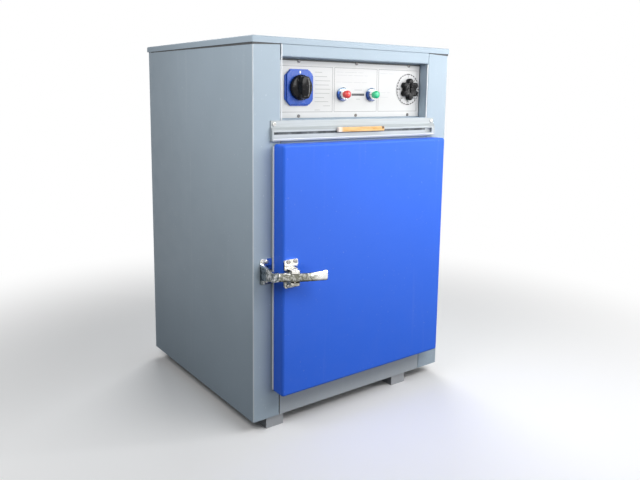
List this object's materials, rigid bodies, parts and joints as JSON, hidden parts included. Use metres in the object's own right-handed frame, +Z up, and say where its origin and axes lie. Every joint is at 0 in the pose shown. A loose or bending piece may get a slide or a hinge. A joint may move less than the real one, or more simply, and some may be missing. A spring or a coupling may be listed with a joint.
{
  "type": "dry heat sterilizer",
  "caption": "Bench hot air sterilizer: grey sheet cabinet, insulated steel chamber with wire shelves, blue hinged door with pull latch, recessed control panel and a sliding air vent.",
  "frame": {"origin": "centre of the object's box, on the surface the feet stand on", "axes": "+Z up; the door and controls face -Y; +X is to the right of someone who faces the door"},
  "size_m": [0.424, 0.4744, 0.63],
  "materials": {
    "cabinet_paint": "satin",
    "door_paint": "satin",
    "panel_paint": "satin",
    "feet_paint": "satin",
    "stainless": "brushed",
    "galvanised": "dull",
    "bright_chrome": "polished",
    "screw_steel": "polished",
    "track_metal": "satin",
    "amber_bar": "gloss",
    "black_plastic": "gloss",
    "blue_plate": "gloss",
    "dial_face": "satin",
    "red_glass": "gloss",
    "green_glass": "gloss",
    "switch_plastic": "matte",
    "ceramic": "matte",
    "glass_wool": "matte",
    "seal_rubber": "matte",
    "heater_sheath": "dull",
    "bulb_copper": "satin",
    "black_gland": "matte"
  },
  "bodies": {
    "cabinet": {"left_side_panel": "cabinet_paint", "right_side_panel": "cabinet_paint", "top_rail": "cabinet_paint", "middle_rail": "cabinet_paint", "bottom_rail": "cabinet_paint", "rear_panel": "cabinet_paint", "base_pan": "galvanised", "top_lid": "cabinet_paint", "feet": "feet_paint", "wiring_floor": "galvanised", "rear_screws": "screw_steel", "control_panel": "panel_paint", "panel_screws": "screw_steel", "front_frame_screws": "screw_steel", "switch_escutcheon": "blue_plate", "switch_body": "switch_plastic", "thermostat_dial": "dial_face", "thermostat_body": "galvanised", "thermostat_probe": "bulb_copper", "probe_clips": "stainless", "lamp_housings": "bright_chrome", "red_lamp_lens": "red_glass", "green_lamp_lens": "green_glass", "terminal_block": "ceramic", "cable_gland": "black_gland", "chamber_side_walls": "stainless", "chamber_rear_wall": "stainless", "chamber_ceiling": "stainless", "chamber_floor": "stainless", "chamber_mouth_trim": "stainless", "side_insulation": "glass_wool", "floor_insulation": "glass_wool", "rear_insulation": "glass_wool", "top_insulation": "glass_wool", "shelf_runners": "stainless", "heater_elements": "heater_sheath", "heater_bushes": "ceramic", "heater_cover": "stainless", "vent_track": "track_metal", "hinge_post_leaves": "stainless", "hinge_pins": "stainless", "latch_keeper": "bright_chrome"},
    "door": {"door_outer_pan": "door_paint", "door_inner_panel": "stainless", "door_insulation": "glass_wool", "door_gasket": "seal_rubber", "door_panel_screws": "screw_steel", "door_fixing_screws": "screw_steel", "hinge_door_leaves": "stainless", "latch_base": "bright_chrome", "latch_pin": "screw_steel"},
    "latch_lever": {"latch_lever": "bright_chrome"},
    "vent_slider": {"vent_shutter": "galvanised", "vent_pull": "amber_bar"},
    "switch_knob": {"switch_knob": "black_plastic"},
    "thermostat_knob": {"thermostat_knob": "black_plastic"},
    "lower_shelf": {"lower_shelf": "bright_chrome"},
    "upper_shelf": {"upper_shelf": "bright_chrome"}
  },
  "joints": [
    {"name": "door_hinge", "type": "hinge", "parent": "cabinet", "child": "door", "pos_m": [0.184, -0.1768, 0.265], "axis": [0, 0, 1], "range_deg": [0, 105]},
    {"name": "latch_pivot", "type": "hinge", "parent": "door", "child": "latch_lever", "pos_m": [-0.163, -0.2188, 0.2655], "axis": [0, 0, 1], "range_deg": [-24, 0]},
    {"name": "vent_slide", "type": "slide", "parent": "cabinet", "child": "vent_slider", "axis": [1, 0, 0], "range_m": [0, 0.015]},
    {"name": "switch_turn", "type": "hinge", "parent": "cabinet", "child": "switch_knob", "pos_m": [-0.112, -0.1718, 0.55452], "axis": [0, 1, 0], "range_deg": [0, 90]},
    {"name": "thermostat_turn", "type": "hinge", "parent": "cabinet", "child": "thermostat_knob", "pos_m": [0.1298, -0.1718, 0.55452], "axis": [0, 1, 0], "range_deg": [0, 270]},
    {"name": "lower_shelf_slide", "type": "slide", "parent": "cabinet", "child": "lower_shelf", "axis": [0, -1, 0], "range_m": [0, 0.036]},
    {"name": "upper_shelf_slide", "type": "slide", "parent": "cabinet", "child": "upper_shelf", "axis": [0, -1, 0], "range_m": [0, 0.036]}
  ]
}
